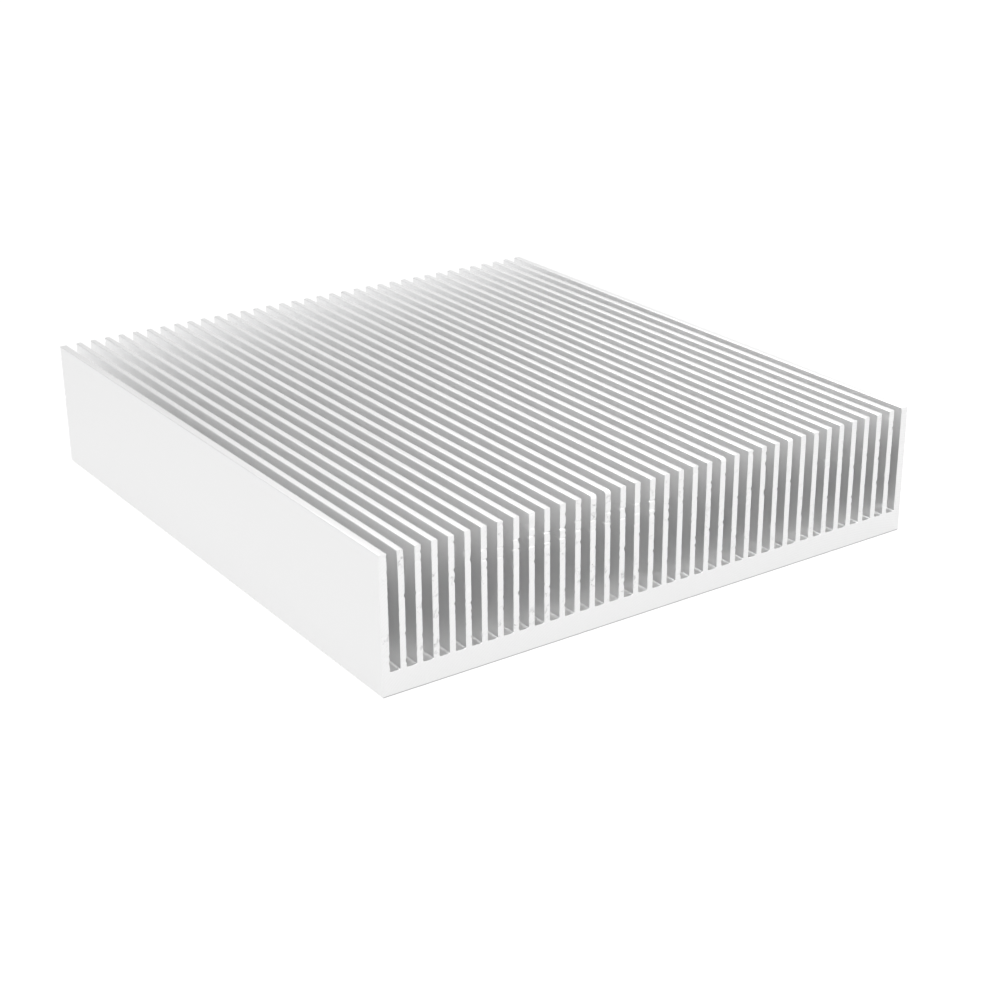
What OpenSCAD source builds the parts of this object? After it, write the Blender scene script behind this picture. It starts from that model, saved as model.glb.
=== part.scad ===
// Extruded aluminium heat sink: a flat base carrying a comb of straight plate fins.
// One die gives the whole section, and the bar is sawn square to length.
// X runs across the fins, Y along the extrusion and Z up from the underside.
// The origin is the centre of the underside.

/* [Bar] */
// Length sawn from the extruded bar, along Y
length = 200; // [40:1:400]
// Height from the underside to the fin tips
height = 40; // [20:0.5:60]
// Thickness of the base under the fins
base_t = 6.8; // [3:0.1:12]
// Radius on the two long lower edges of the base
heel_r = 0.4; // [0.1:0.1:2]

/* [Fins] */
// Number of fins, counting the two outer ones
fin_count = 37; // [4:1:60]
// Distance from one fin's centre to the next
fin_pitch = 5; // [4:0.1:9]
// Thickness of each inner fin
fin_t = 1.85; // [1.2:0.05:2.4]
// Thickness of the two outer fins, which guard the comb
outer_fin_t = 2.4; // [1.2:0.05:4]
// Radius on both edges of each fin's tip
tip_r = 0.35; // [0.1:0.05:0.5]
// Radius where a fin grows out of the gap's floor
root_r = 0.4; // [0.1:0.1:1.5]

/* [Finish] */
// Colour of the mill-finish aluminium
metal = "#dfe1e3"; // ["#dfe1e3", "#c9ccd0", "#2b2c2e"]

/* [Hidden] */
$fn = 48;
// Clear space between two fins, the same all the way across
gap = fin_pitch - fin_t;
// First and last inner fin centres lie this far from the middle
inner_reach = (fin_count - 3) / 2 * fin_pitch;
// The outer fins' inner faces, one gap beyond the last inner fin
comb_half = inner_reach + fin_t / 2 + gap;
width = 2 * (comb_half + outer_fin_t);
// A root radius may fill the gap's floor, but no more than that
root_fillet = min(root_r, gap / 2);
// The fins are sunk this far into the base, so the two are one body
sunk = 0.5;

// Left edge of gap number i, counted from the left outer fin
function gap_x(i) = -comb_half + i * fin_pitch;

// One fin's section: straight flanks and a tip with two rounded edges
module fin_section(x, t) {
    round_r = min(tip_r, t / 2 - 0.05);
    shoulder_z = height - round_r;
    translate([x, base_t - sunk]) square([t, shoulder_z - base_t + sunk]);
    translate([x + round_r, base_t]) square([t - 2 * round_r, height - base_t]);
    for (edge_x = [x + round_r, x + t - round_r])
        translate([edge_x, shoulder_z]) circle(round_r);
}

// The hollow fillet that one flank makes with the floor; side is 1 for a
// flank on the left of its gap and -1 for one on the right
module root_section(x, side) {
    translate([x, base_t]) mirror([side < 0 ? 1 : 0, 0]) difference() {
        translate([-sunk, -sunk]) square(root_fillet + sunk);
        translate([root_fillet, root_fillet]) circle(root_fillet);
    }
}

// The base's section, flat underneath and with its two lower edges eased
module base_section() {
    half = width / 2;
    translate([-half, heel_r]) square([width, base_t - heel_r]);
    translate([heel_r - half, 0]) square([width - 2 * heel_r, base_t]);
    for (edge_x = [heel_r - half, half - heel_r])
        translate([edge_x, heel_r]) circle(heel_r);
}

// The whole section as the die gives it
module comb_section() {
    base_section();
    fin_section(-width / 2, outer_fin_t);
    fin_section(comb_half, outer_fin_t);
    for (i = [1:fin_count - 2])
        fin_section(gap_x(i) - fin_t, fin_t);
    for (i = [0:fin_count - 2]) {
        root_section(gap_x(i), 1);
        root_section(gap_x(i) + gap, -1);
    }
}

// The bar, standing on its base with its sawn ends at both ends of Y
module heat_sink() {
    color(metal)
        translate([0, length / 2, 0])
            rotate([90, 0, 0])
                linear_extrude(length) comb_section();
}

heat_sink();
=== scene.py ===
import math
import random

import bmesh
import bpy
from mathutils import Euler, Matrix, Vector, noise


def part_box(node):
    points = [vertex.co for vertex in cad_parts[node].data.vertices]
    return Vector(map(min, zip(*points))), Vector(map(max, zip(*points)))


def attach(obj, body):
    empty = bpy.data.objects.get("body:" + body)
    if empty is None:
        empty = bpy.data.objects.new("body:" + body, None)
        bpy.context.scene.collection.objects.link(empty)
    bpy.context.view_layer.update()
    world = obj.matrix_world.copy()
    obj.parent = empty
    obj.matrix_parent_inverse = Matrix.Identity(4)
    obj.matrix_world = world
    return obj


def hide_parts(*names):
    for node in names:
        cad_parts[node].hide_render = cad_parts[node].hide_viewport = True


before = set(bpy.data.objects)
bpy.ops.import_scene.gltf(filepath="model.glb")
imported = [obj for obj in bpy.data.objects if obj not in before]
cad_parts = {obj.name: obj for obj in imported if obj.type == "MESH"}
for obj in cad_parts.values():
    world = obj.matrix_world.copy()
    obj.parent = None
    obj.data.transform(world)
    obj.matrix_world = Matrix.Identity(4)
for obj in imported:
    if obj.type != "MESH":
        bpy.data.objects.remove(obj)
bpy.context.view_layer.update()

# The bar. One length of 6063 aluminium pushed hot through a die, which makes the base and
# its comb of fins in one piece, then sawn square at both ends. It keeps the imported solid's
# section, and takes on the small faults that the cooling bench, the saw and handling left.
MM = 0.001
FIN_COUNT = 37
FIN_PITCH = 5 * MM
FIN_THICKNESS = 1.85 * MM
OUTER_FIN = 2.4 * MM
BASE_HEIGHT = 6.8 * MM
ROOT_RADIUS = 0.4 * MM
TIP_RADIUS = 0.35 * MM
HEEL_RADIUS = 0.4 * MM

# How close two points are taken as one, and how flat a joint between two faces is dropped.
SAME_POINT = 0.002 * MM
FLAT_JOINT = math.radians(0.5)

bar_low, bar_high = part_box("heat_sink")
middle = (bar_low + bar_high) / 2
half_length = (bar_high.y - bar_low.y) / 2
fin_height = bar_high.z - bar_low.z - BASE_HEIGHT

bar_form = bmesh.new()
bar_form.from_mesh(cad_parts["heat_sink"].data)
bmesh.ops.remove_doubles(bar_form, verts=bar_form.verts, dist=SAME_POINT)
bmesh.ops.dissolve_limit(
    bar_form, angle_limit=FLAT_JOINT, verts=bar_form.verts, edges=bar_form.edges
)

# Rings of edges laid round the bar, so that it can bend and fray: close together up the
# fins near the sawn ends, closest where the saw paused, and a few along its length.
SAW_ZONE = 3 * MM
SAW_RINGS = (0.3 * MM, 0.9 * MM, SAW_ZONE)
SAW_STEPS = 56
LENGTH_STEPS = 5
PAUSES = (6.8 * MM, 9.6 * MM)
PAUSE_WIDTH = 0.5 * MM
PAST_ROUNDING = 0.1 * MM
ON_PLANE = 0.001 * MM


def cut_bar(point, normal, within=lambda face_middle: True):
    """Lays a ring of edges round the bar where a plane crosses it, and removes nothing."""
    faces = [face for face in bar_form.faces if within(face.calc_center_median())]
    edges = list(dict.fromkeys(edge for face in faces for edge in face.edges))
    verts = list(dict.fromkeys(vert for face in faces for vert in face.verts))
    bmesh.ops.bisect_plane(
        bar_form, geom=verts + edges + faces, dist=ON_PLANE, plane_co=point, plane_no=normal
    )


def near_cut(spot):
    """Whether a spot is close to either sawn end."""
    return abs(spot.y - middle.y) > half_length - SAW_ZONE


def near_front_cut(spot):
    """Whether a spot is close to the front sawn end."""
    return spot.y < middle.y - half_length + SAW_ZONE


def at_foot_of_cut(spot):
    """Whether a spot is on the base, right at either sawn end."""
    at_end = abs(spot.y - middle.y) > half_length - SAW_RINGS[0]
    return at_end and spot.z < bar_low.z + BASE_HEIGHT


flat_top = bar_high.z - TIP_RADIUS - PAST_ROUNDING
flat_heel = bar_low.z + HEEL_RADIUS + PAST_ROUNDING
flat_foot = bar_low.z + BASE_HEIGHT + ROOT_RADIUS + PAST_ROUNDING
for level in (flat_heel, flat_foot, flat_top):
    cut_bar((0, 0, level), (0, 0, 1))
for side in (-1, 1):
    edge_line = middle.x + side * ((bar_high.x - bar_low.x) / 2 - HEEL_RADIUS - PAST_ROUNDING)
    cut_bar((edge_line, 0, 0), (1, 0, 0))
for side in (-1, 1):
    for ring in SAW_RINGS:
        cut_bar((0, middle.y + side * (half_length - ring), 0), (0, 1, 0))
for step in range(1 - LENGTH_STEPS, LENGTH_STEPS):
    cut_bar((0, middle.y + step * half_length / LENGTH_STEPS, 0), (0, 1, 0))
for step in range(1, SAW_STEPS):
    level = flat_foot + (flat_top - flat_foot) * step / SAW_STEPS
    cut_bar((0, 0, level), (0, 0, 1), within=near_cut)
for pause in PAUSES:
    for off in (-PAUSE_WIDTH / 2, 0, PAUSE_WIDTH / 2):
        cut_bar((0, 0, bar_high.z - pause + off), (0, 0, 1), within=near_front_cut)
for step in range(1, 2 * FIN_COUNT):
    crossing = bar_low.x + (bar_high.x - bar_low.x) * step / (2 * FIN_COUNT)
    cut_bar((crossing, 0, 0), (1, 0, 0), within=at_foot_of_cut)

# The saw leaves a sharp edge with its very corner broken by the deburring brush.
CUT_EDGE = 0.06 * MM
FACES_END = 0.7
sawn_edges = [
    edge
    for edge in bar_form.edges
    if sorted(abs(face.normal.y) > FACES_END for face in edge.link_faces) == [False, True]
]
bmesh.ops.bevel(
    bar_form, geom=sawn_edges, offset=CUT_EDGE, offset_type="OFFSET", segments=1,
    profile=0.5, affect="EDGES", material=-1, clamp_overlap=False,
)

# Each root spreads along the floor of its gap, wider and lower than the imported solid's own
# arc, which puts a thin bright line on the floor. The two sizes are chosen.
ROOT_SPREAD = 0.85 * MM
ROOT_RISE = 0.32 * MM
GAP = FIN_PITCH - FIN_THICKNESS
SLACK = 0.01 * MM
for vert in bar_form.verts:
    above = vert.co.z - bar_low.z - BASE_HEIGHT
    if -SLACK <= above < ROOT_RADIUS + SLACK:
        from_left = (vert.co.x - bar_low.x - OUTER_FIN) % FIN_PITCH
        from_right = GAP - from_left
        vert.co.z -= above * (1 - ROOT_RISE / ROOT_RADIUS)
        if from_left < ROOT_RADIUS + SLACK:
            vert.co.x += from_left * (ROOT_SPREAD / ROOT_RADIUS - 1)
        elif 0 <= from_right < ROOT_RADIUS + SLACK:
            vert.co.x -= from_right * (ROOT_SPREAD / ROOT_RADIUS - 1)

# Each fin leans and bows a little, as fins this thin do. How much is chosen.
FIN_LEAN = 0.09 * MM
FIN_BOW = 0.8 * FIN_LEAN
BOWS_ALONG = 2.5

# The saw frays the edges that it leaves into burrs and nicks. Two notches run across the
# middle fins, made here as places where its feed paused.
BURR = 0.05 * MM
BURRS_PER_METRE = 900
NICK = 0.26 * MM
NICK_INWARD = 0.4
NICK_SPACING = 1.1 * MM
NICK_REACH = 0.6 * MM
NICK_FROM = 0.02
FRAY_LIMIT = 0.3
FRAY_FULL = 0.25
PAUSE_FINS = (6, 17)
PAUSE_CUT = 0.25 * MM
PAUSE_DRIFT = 0.7 * MM
PAUSE_SHALLOWEST = 0.2

# The foot of the cut has a broken, darker line, made here as an uneven strip left by a file,
# and darkened further by a painted contact shadow in the saw-cut material.
FILED_HEIGHT = 0.4 * MM
FILED_DEPTH = 0.14 * MM
FILED_MEAN = 0.8
FILED_SWING = 0.7
FILED_PER_METRE = 350
random.seed(37)
lean = [[random.uniform(-FIN_LEAN, FIN_LEAN) for end in (0, 1)] for fin in range(FIN_COUNT)]
pause_drift = [random.uniform(-PAUSE_DRIFT, PAUSE_DRIFT) for fin in range(FIN_COUNT)]
pause_depth = [
    [random.uniform(PAUSE_SHALLOWEST, 1) for pause in PAUSES] for fin in range(FIN_COUNT)
]

# Knocks, each with the fin's number, how far below its tip, how far in from the front end,
# its radius and the push, all in millimetres.
knocks = [
    (1, 0.0, 0.0, 9.0, (-0.22, 0.0, 0.0)),
    (36, 0.0, 0.0, 1.2, (-0.12, 0.1, -0.08)),
    (13, 0.2, 0.0, 1.2, (0.1, 0.22, -0.2)),
    (14, 0.0, 0.0, 1.3, (-0.12, 0.2, -0.25)),
    (9, 0.3, 0.0, 1.0, (0.12, 0.1, -0.1)),
    (22, 0.2, 0.0, 1.2, (-0.1, 0.2, -0.2)),
    (27, 0.0, 0.0, 1.0, (0.1, 0.2, -0.2)),
]

# The odd factors beside the fin's number only keep each fin's and each edge's noise apart.
for vert in bar_form.verts:
    spot = vert.co.copy()
    rise = (spot.z - bar_low.z - BASE_HEIGHT) / fin_height
    end_gap = half_length - abs(spot.y - middle.y)
    end_side = 1 if spot.y > middle.y else -1
    if spot.z - bar_low.z < 2 * CUT_EDGE and end_gap < 2 * CUT_EDGE:
        wave = noise.noise(Vector((spot.x * FILED_PER_METRE, end_side, 0)))
        filed_strip_and_painted_shadow = FILED_MEAN + FILED_SWING * wave
        if end_gap < CUT_EDGE / 2:
            vert.co.z = bar_low.z + FILED_HEIGHT * filed_strip_and_painted_shadow
        else:
            vert.co.y = middle.y + end_side * (half_length - FILED_DEPTH * filed_strip_and_painted_shadow)
    if rise <= 0:
        continue
    fin = round((spot.x - bar_low.x - OUTER_FIN + FIN_THICKNESS / 2) / FIN_PITCH)
    fin = min(max(fin, 0), FIN_COUNT - 1)
    along = (spot.y - bar_low.y) / (2 * half_length)
    bow = FIN_BOW * noise.noise(Vector((fin * 3.7, along * BOWS_ALONG, 0)))
    vert.co.x += rise * (lean[fin][0] * (1 - along) + lean[fin][1] * along + bow)
    if end_gap < NICK_REACH and rise > NICK_FROM:
        fin_middle = bar_low.x + OUTER_FIN - FIN_THICKNESS / 2 + fin * FIN_PITCH
        flank = 1 if spot.x > fin_middle else -1
        own_edge = Vector((fin * 7.3 + flank * 3.1, end_side * 5, spot.z / NICK_SPACING))
        nick = min(max(noise.noise(own_edge) - FRAY_LIMIT, 0) / FRAY_FULL, 1)
        groove = 0
        if end_side < 0 and PAUSE_FINS[0] <= fin <= PAUSE_FINS[1]:
            for pause, depth in zip(PAUSES, pause_depth[fin]):
                off = abs(bar_high.z - spot.z - pause)
                groove = max(groove, depth * (1 - off / (PAUSE_WIDTH / 2)))
                vert.co.z += pause_drift[fin] * max(0, 1 - off / (2 * PAUSE_DRIFT))
        near = 1 - end_gap / NICK_REACH
        nick = max(nick, groove)
        vert.co.x += near * (BURR * noise.noise(spot * BURRS_PER_METRE) - flank * NICK * nick)
        vert.co.y -= end_side * near * (NICK * nick * NICK_INWARD + PAUSE_CUT * groove)
    for number, below, inward, radius, push in knocks:
        if number == fin:
            away = Vector((0, spot.y - bar_low.y - inward * MM, bar_high.z - spot.z - below * MM))
            share = max(0, 1 - away.length / (radius * MM))
            vert.co += Vector(push) * MM * share * share
for vert in bar_form.verts:
    for axis in range(3):
        vert.co[axis] = min(max(vert.co[axis], bar_low[axis]), bar_high[axis])

# The sawn faces are flat. The drawn ones shade smoothly up to their crisp edges.
DRAWN = 0
SAWN = 1
SAWN_SLOPE = 0.9
CRISP_ANGLE = math.radians(35)
bar_form.normal_update()
for face in bar_form.faces:
    face.material_index = SAWN if abs(face.normal.y) > SAWN_SLOPE else DRAWN
    face.smooth = face.material_index == DRAWN
for edge in bar_form.edges:
    edge.smooth = edge.calc_face_angle(0) < CRISP_ANGLE
bar_mesh = bpy.data.meshes.new("extruded_bar")
bar_form.to_mesh(bar_mesh)
bar_form.free()
bar = bpy.data.objects.new("extruded_bar", bar_mesh)
bpy.context.collection.objects.link(bar)


def linear(hex_colour):
    """An sRGB hex colour as the linear RGBA that the shaders work in."""
    shares = [int(hex_colour[i : i + 2], 16) / 255 for i in (1, 3, 5)]
    return [s / 12.92 if s <= 0.04045 else ((s + 0.055) / 1.055) ** 2.4 for s in shares] + [1]


def add_node(tree, kind, settings, inputs):
    """Adds a node. Each input is a fixed value, or the socket that feeds it."""
    added = tree.nodes.new(kind)
    for name, value in settings.items():
        setattr(added, name, value)
    for name, value in inputs.items():
        if isinstance(value, bpy.types.NodeSocket):
            tree.links.new(value, added.inputs[name])
        else:
            added.inputs[name].default_value = value
    return added


def aluminium(name):
    """A bare aluminium material, with its tree, its shader and its place on the bar."""
    material = bpy.data.materials.new(name)
    material.use_nodes = True
    tree = material.node_tree
    shader = tree.nodes["Principled BSDF"]
    shader.inputs["Metallic"].default_value = 1
    place = add_node(tree, "ShaderNodeTexCoord", {}, {}).outputs["Object"]
    bar_mesh.materials.append(material)
    return tree, shader, place


# Mill-finish extruded aluminium: bare, as it left the die. The die draws fine lines along
# the bar, so a highlight stays crisp along it and spreads out across it. The tone is lighter
# than the bare metal's own: at that one, the gaps come out too dark after their bounces.
tree, drawn, place = aluminium("mill_finish_extruded_aluminium")
LINE_SPACING = 0.5 * MM
LINE_RUN = 90 * MM
LINES_FROM = 0.3
LINES_TO = 0.7
GLOSS_LOW = 0.34
GLOSS_HIGH = 0.42
STRETCH = 0.6
TONE_LOW = "#FCFCFC"
TONE_HIGH = "#FDFDFD"
stretched = add_node(
    tree, "ShaderNodeMapping", {},
    {"Vector": place, "Scale": (1 / LINE_SPACING, 1 / LINE_RUN, 1 / LINE_SPACING)},
)
die_lines = add_node(
    tree, "ShaderNodeTexNoise", {},
    {"Vector": stretched.outputs[0], "Scale": 1, "Detail": 4, "Roughness": 0.65},
)
line_tone = add_node(
    tree, "ShaderNodeMapRange", {},
    {"Value": die_lines.outputs["Fac"], "From Min": LINES_FROM, "From Max": LINES_TO,
     "To Min": 0, "To Max": 1},
)
tone = add_node(
    tree, "ShaderNodeMix", {"data_type": "RGBA"},
    {"Factor": line_tone.outputs[0], 6: linear(TONE_LOW), 7: linear(TONE_HIGH)},
)
line_gloss = add_node(
    tree, "ShaderNodeMapRange", {},
    {"Value": die_lines.outputs["Fac"], "From Min": LINES_FROM, "From Max": LINES_TO,
     "To Min": GLOSS_LOW, "To Max": GLOSS_HIGH},
)
tree.links.new(tone.outputs[2], drawn.inputs["Base Color"])
tree.links.new(line_gloss.outputs[0], drawn.inputs["Roughness"])
round_bar = add_node(tree, "ShaderNodeTangent", {"direction_type": "RADIAL", "axis": "Y"}, {})
tree.links.new(round_bar.outputs[0], drawn.inputs["Tangent"])
drawn.inputs["Anisotropic"].default_value = STRETCH

# Saw-cut aluminium: the blade's teeth leave a fine grey scuff in shallow arcs, duller and
# more even than the drawn faces, with soft grey smudges on the fins where chips dragged,
# and a painted contact shadow along the foot of the cut.
tree, sawn, place = aluminium("saw_cut_aluminium")
BLADE_RADIUS = 150 * MM
BLADE_SIDE = -60 * MM
TOOTH_SPACING = 0.8 * MM
WAVE_RATE = 20
GRAIN_WIDTH = 0.35 * MM
GRAIN_SHARE = 0.6
SCUFF_DARK = "#F6F6F6"
SCUFF_LIGHT = "#FCFCFC"
SAWN_GLOSS_LOW = 0.38
SAWN_GLOSS_HIGH = 0.52
RELIEF_SHARE = 0.5
RELIEF_DEPTH = 0.01 * MM
centred = add_node(
    tree, "ShaderNodeMapping", {}, {"Vector": place, "Location": (BLADE_SIDE, 0, BLADE_RADIUS)}
)
saw_arcs = add_node(
    tree, "ShaderNodeTexWave", {"wave_type": "RINGS", "rings_direction": "Y"},
    {"Vector": centred.outputs[0], "Scale": 2 * math.pi / (WAVE_RATE * TOOTH_SPACING),
     "Distortion": 2.0, "Detail": 2, "Detail Scale": 1.5, "Detail Roughness": 0.6},
)
grain = add_node(
    tree, "ShaderNodeTexNoise", {},
    {"Vector": place, "Scale": 1 / GRAIN_WIDTH, "Detail": 3, "Roughness": 0.6},
)
scuff = add_node(
    tree, "ShaderNodeMix", {"data_type": "FLOAT"},
    {0: GRAIN_SHARE, 2: saw_arcs.outputs["Fac"], 3: grain.outputs["Fac"]},
)
face_tone = add_node(
    tree, "ShaderNodeMix", {"data_type": "RGBA"},
    {"Factor": scuff.outputs[0], 6: linear(SCUFF_DARK), 7: linear(SCUFF_LIGHT)},
)
sawn_gloss = add_node(
    tree, "ShaderNodeMapRange", {},
    {"Value": scuff.outputs[0], "To Min": SAWN_GLOSS_LOW, "To Max": SAWN_GLOSS_HIGH},
)
tree.links.new(sawn_gloss.outputs[0], sawn.inputs["Roughness"])
sawn_relief = add_node(
    tree, "ShaderNodeBump", {},
    {"Height": scuff.outputs[0], "Strength": RELIEF_SHARE, "Distance": RELIEF_DEPTH},
)
tree.links.new(sawn_relief.outputs[0], sawn.inputs["Normal"])

# The smudges lie in loose patches on the fins, none on the base and fewer to the right.
SMUDGE_WIDTH = 2 * MM
SMUDGE_FROM = 0.55
SMUDGE_FULL = 0.73
SMUDGE_TONE = "#9C9C9C"
PATCH_WIDTH = 8 * MM
PATCH_FROM = 0.45
PATCH_FULL = 0.62
PATCH_SHARE = 0.55
RIGHT_FADE = 20 * MM
RIGHT_SHARE = 0.35
smudges = add_node(
    tree, "ShaderNodeTexNoise", {},
    {"Vector": place, "Scale": 1 / SMUDGE_WIDTH, "Detail": 2, "Roughness": 0.6,
     "Distortion": 0.8},
)
smudge_mask = add_node(
    tree, "ShaderNodeMapRange", {},
    {"Value": smudges.outputs["Fac"], "From Min": SMUDGE_FROM, "From Max": SMUDGE_FULL,
     "To Min": 0, "To Max": 1},
)
patches = add_node(
    tree, "ShaderNodeTexNoise", {}, {"Vector": place, "Scale": 1 / PATCH_WIDTH, "Detail": 1}
)
patch_mask = add_node(
    tree, "ShaderNodeMapRange", {},
    {"Value": patches.outputs["Fac"], "From Min": PATCH_FROM, "From Max": PATCH_FULL,
     "To Min": 0, "To Max": PATCH_SHARE},
)
place_parts = add_node(tree, "ShaderNodeSeparateXYZ", {}, {"Vector": place})
height = place_parts.outputs["Z"]
fewer_right = add_node(
    tree, "ShaderNodeMapRange", {},
    {"Value": place_parts.outputs["X"], "From Min": middle.x - RIGHT_FADE,
     "From Max": middle.x + RIGHT_FADE, "To Min": 1, "To Max": RIGHT_SHARE},
)
above_base = add_node(
    tree, "ShaderNodeMapRange", {},
    {"Value": height, "From Min": bar_low.z + BASE_HEIGHT, "From Max": flat_foot,
     "To Min": 0, "To Max": 1},
)
smudge_share = smudge_mask.outputs[0]
for mask in (patch_mask, above_base, fewer_right):
    smudge_share = add_node(
        tree, "ShaderNodeMath", {"operation": "MULTIPLY"}, {0: smudge_share, 1: mask.outputs[0]}
    ).outputs[0]
smudged = add_node(
    tree, "ShaderNodeMix", {"data_type": "RGBA"},
    {"Factor": smudge_share, 6: face_tone.outputs[2], 7: linear(SMUDGE_TONE)},
)

# Painted shadow: the strip at the foot of the cut is painted grey, in place of the thin contact
# shadow under the sawn end, fading out towards the top of the filed strip.
PAINTED_SHADOW_TONE = "#C8C8C8"
PAINTED_SHADOW_FADE = 0.7 * FILED_HEIGHT
in_painted_contact_shadow = add_node(
    tree, "ShaderNodeMapRange", {},
    {"Value": height, "From Min": bar_low.z + PAINTED_SHADOW_FADE, "From Max": bar_low.z + FILED_HEIGHT,
     "To Min": 1, "To Max": 0},
)
# Mixes the painted contact shadow over the sawn face's colour.
filed_strip_and_painted_shadow = add_node(
    tree, "ShaderNodeMix", {"data_type": "RGBA"},
    {"Factor": in_painted_contact_shadow.outputs[0], 6: smudged.outputs[2], 7: linear(PAINTED_SHADOW_TONE)},
)
tree.links.new(filed_strip_and_painted_shadow.outputs[2], sawn.inputs["Base Color"])

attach(bar, "root")
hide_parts("heat_sink")

# The floor. A wide sheet of matt white paper, which has no gloss and keeps only a faint
# shadow of the bar. It glows less to mirrored light than to the camera.
FLOOR_HALF = 4.0
FLOOR_PAPER = 0.12
CAMERA_GLOW = 0.93
GLOSS_GLOW = 0.72
floor_form = bmesh.new()
bmesh.ops.create_grid(floor_form, x_segments=1, y_segments=1, size=FLOOR_HALF)
bmesh.ops.translate(floor_form, verts=floor_form.verts, vec=(middle.x, middle.y, bar_low.z))
floor_mesh = bpy.data.meshes.new("paper_floor")
floor_form.to_mesh(floor_mesh)
floor_form.free()
floor = bpy.data.objects.new("paper_floor", floor_mesh)
bpy.context.collection.objects.link(floor)
paper = bpy.data.materials.new("white_paper")
paper.use_nodes = True
tree = paper.node_tree
sheet = tree.nodes["Principled BSDF"]
sheet.inputs["Base Color"].default_value = (FLOOR_PAPER, FLOOR_PAPER, FLOOR_PAPER, 1)
sheet.inputs["Roughness"].default_value = 1
sheet.inputs["Specular IOR Level"].default_value = 0
sheet.inputs["Emission Color"].default_value = (1, 1, 1, 1)
ray = add_node(tree, "ShaderNodeLightPath", {}, {})
seen = add_node(
    tree, "ShaderNodeMath", {"operation": "MAXIMUM"},
    {0: ray.outputs["Is Glossy Ray"], 1: ray.outputs["Is Transmission Ray"]},
)
mirrored = add_node(
    tree, "ShaderNodeMath", {"operation": "MULTIPLY"}, {0: seen.outputs[0], 1: GLOSS_GLOW}
)
glow = add_node(
    tree, "ShaderNodeMath", {"operation": "MULTIPLY_ADD"},
    {0: ray.outputs["Is Camera Ray"], 1: CAMERA_GLOW, 2: mirrored.outputs[0]},
)
tree.links.new(glow.outputs[0], sheet.inputs["Emission Strength"])
paper.cycles.emission_sampling = "NONE"
floor_mesh.materials.append(paper)

# The backdrop card. A glowing card behind the bar, which stands in for a lit light grey card;
# its glow is a shade darker towards its top. The fin tips and the far ends of the gaps mirror
# it, and only mirrored light sees it.
CARD_DISTANCE = 0.5
CARD_WIDTH = 3.0
CARD_HEIGHT = 0.5
CARD_LOW = 0.62
CARD_HIGH = 0.57
SHADE_FROM = 130 * MM
SHADE_TO = 260 * MM
HALF_SQUARE = 0.5
card_form = bmesh.new()
bmesh.ops.create_grid(card_form, x_segments=1, y_segments=1, size=HALF_SQUARE)
bmesh.ops.scale(card_form, verts=card_form.verts, vec=(CARD_WIDTH, CARD_HEIGHT, 1))
bmesh.ops.rotate(
    card_form, verts=card_form.verts, cent=(0, 0, 0), matrix=Euler((math.pi / 2, 0, 0)).to_matrix()
)
bmesh.ops.translate(
    card_form, verts=card_form.verts,
    vec=(middle.x, middle.y + CARD_DISTANCE, bar_low.z + CARD_HEIGHT / 2),
)
card_mesh = bpy.data.meshes.new("backdrop_card")
card_form.to_mesh(card_mesh)
card_form.free()
card = bpy.data.objects.new("backdrop_card", card_mesh)
bpy.context.collection.objects.link(card)
card.visible_camera = False
card.visible_diffuse = False
card.visible_shadow = False
graded = bpy.data.materials.new("graded_card")
graded.use_nodes = True
graded.cycles.emission_sampling = "NONE"
tree = graded.node_tree
surface = tree.nodes["Principled BSDF"]
surface.inputs["Base Color"].default_value = (0, 0, 0, 1)
surface.inputs["Specular IOR Level"].default_value = 0
surface.inputs["Emission Color"].default_value = (1, 1, 1, 1)
spot = add_node(tree, "ShaderNodeTexCoord", {}, {}).outputs["Object"]
height = add_node(tree, "ShaderNodeSeparateXYZ", {}, {"Vector": spot}).outputs["Z"]
shade = add_node(
    tree, "ShaderNodeMapRange", {"interpolation_type": "SMOOTHSTEP"},
    {"Value": height, "From Min": SHADE_FROM, "From Max": SHADE_TO,
     "To Min": CARD_LOW, "To Max": CARD_HIGH},
)
tree.links.new(shade.outputs[0], surface.inputs["Emission Strength"])
card_mesh.materials.append(graded)

# The studio. A white room, a little darker where it is mirrored, and two softboxes. The one
# overhead is well above a plain level, so that enough light reaches down between the fins.
# The other is low in front and lights the sawn end.
ROOM = 0.2
ROOM_SEEN = 0.84
SOFTBOX_DISTANCE = 2.5
TOP_WIDTH = 3.0
TOP_LEVEL = 3.6
TOP_ANGLE = 78
TOP_SIDE = -25
FILL_WIDTH = 2.0
FILL_LEVEL = 1.25
FILL_ANGLE = 15
FILL_SIDE = 170
scene = bpy.context.scene
scene.view_settings.view_transform = "Standard"
room = bpy.data.worlds.new("white_room")
scene.world = room
room.use_nodes = True
room.cycles.sampling_method = "NONE"
tree = room.node_tree
walls = tree.nodes["Background"]
walls.inputs["Color"].default_value = (1, 1, 1, 1)
ray = add_node(tree, "ShaderNodeLightPath", {}, {})
mirrored = add_node(
    tree, "ShaderNodeMath", {"operation": "MAXIMUM"},
    {0: ray.outputs["Is Glossy Ray"], 1: ray.outputs["Is Transmission Ray"]},
)
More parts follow.
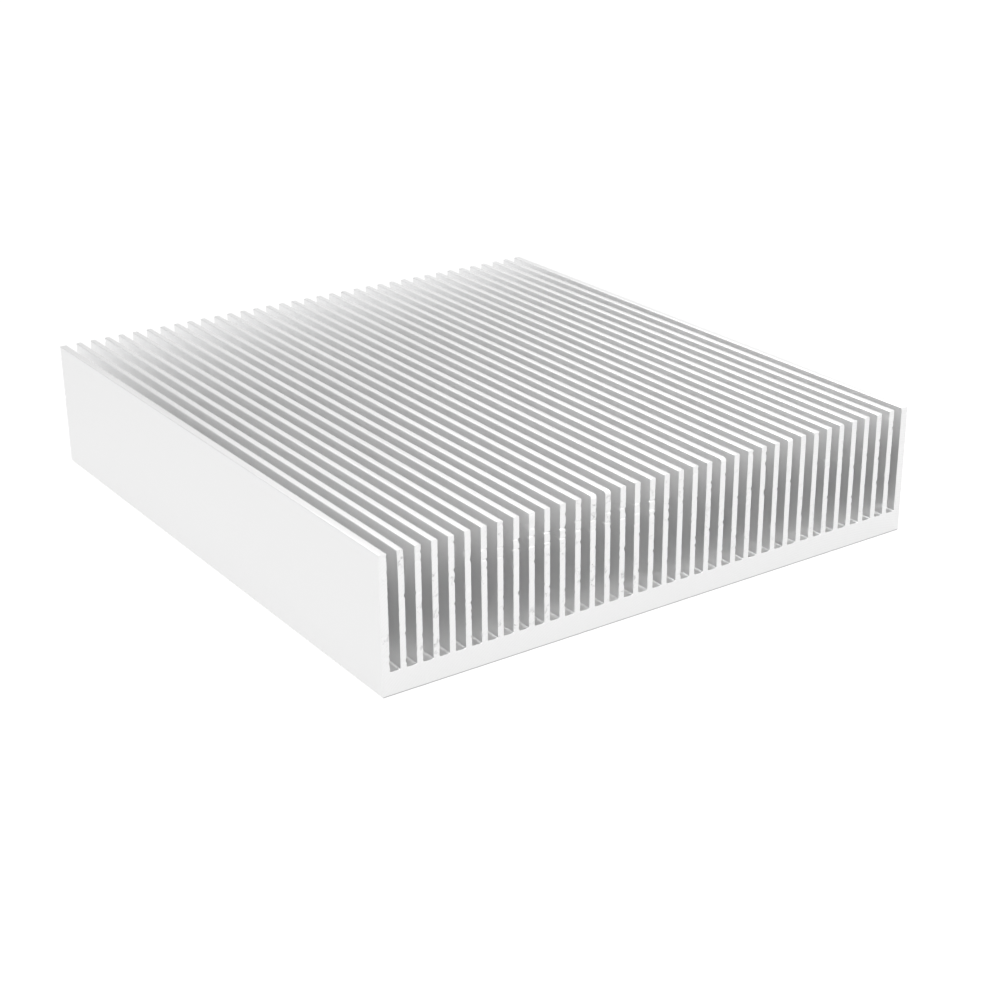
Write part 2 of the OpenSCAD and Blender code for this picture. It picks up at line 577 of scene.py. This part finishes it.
unseen_or_mirrored = add_node(
    tree, "ShaderNodeMapRange", {},
    {"Value": mirrored.outputs[0], "To Min": ROOM, "To Max": ROOM_SEEN},
)
level = add_node(
    tree, "ShaderNodeMath", {"operation": "MAXIMUM"},
    {0: unseen_or_mirrored.outputs[0], 1: ray.outputs["Is Camera Ray"]},
)
tree.links.new(level.outputs[0], walls.inputs["Strength"])


def hang_softbox(name, width, strength, height_angle, compass):
    """Hangs a square softbox that faces the bar. Compass 0 is behind it, along +Y."""
    data = bpy.data.lights.new(name, "AREA")
    data.shape = "SQUARE"
    data.size = width
    data.energy = strength * math.pi * width**2
    lamp = bpy.data.objects.new(name, data)
    turn = Euler((math.radians(height_angle - 90), 0, math.radians(-compass)))
    lamp.rotation_euler = turn
    lamp.location = middle + turn.to_matrix() @ Vector((0, 0, SOFTBOX_DISTANCE))
    bpy.context.collection.objects.link(lamp)


hang_softbox("overhead_softbox", TOP_WIDTH, TOP_LEVEL, TOP_ANGLE, TOP_SIDE)
hang_softbox("front_softbox", FILL_WIDTH, FILL_LEVEL, FILL_ANGLE, FILL_SIDE)

# The light reaches the foot of a gap only after many bounces from flank to flank.
FLANK_BOUNCES = 64
PAPER_BOUNCES = 4
scene.cycles.max_bounces = FLANK_BOUNCES
scene.cycles.glossy_bounces = FLANK_BOUNCES
scene.cycles.diffuse_bounces = PAPER_BOUNCES

# The camera. A short telephoto above the table, which looks down on the sawn front end.
LENS = 68.24
DISTANCE = 0.54838
BEARING = math.radians(34.386)
ELEVATION = math.radians(23.052)
TILT = math.radians(66.962)
ROLL = math.radians(0.3776)
TURN = math.radians(-34.5318)
aim = middle + Vector((-20.7, -50.1, 0)) * MM
back = Vector(
    (
        -math.sin(BEARING) * math.cos(ELEVATION),
        -math.cos(BEARING) * math.cos(ELEVATION),
        math.sin(ELEVATION),
    )
)
camera_data = bpy.data.cameras.new("camera")
camera_data.lens = LENS
camera = bpy.data.objects.new("camera", camera_data)
camera.location = aim + back * DISTANCE
camera.rotation_euler = Euler((TILT, ROLL, TURN))
bpy.context.collection.objects.link(camera)
scene.camera = camera
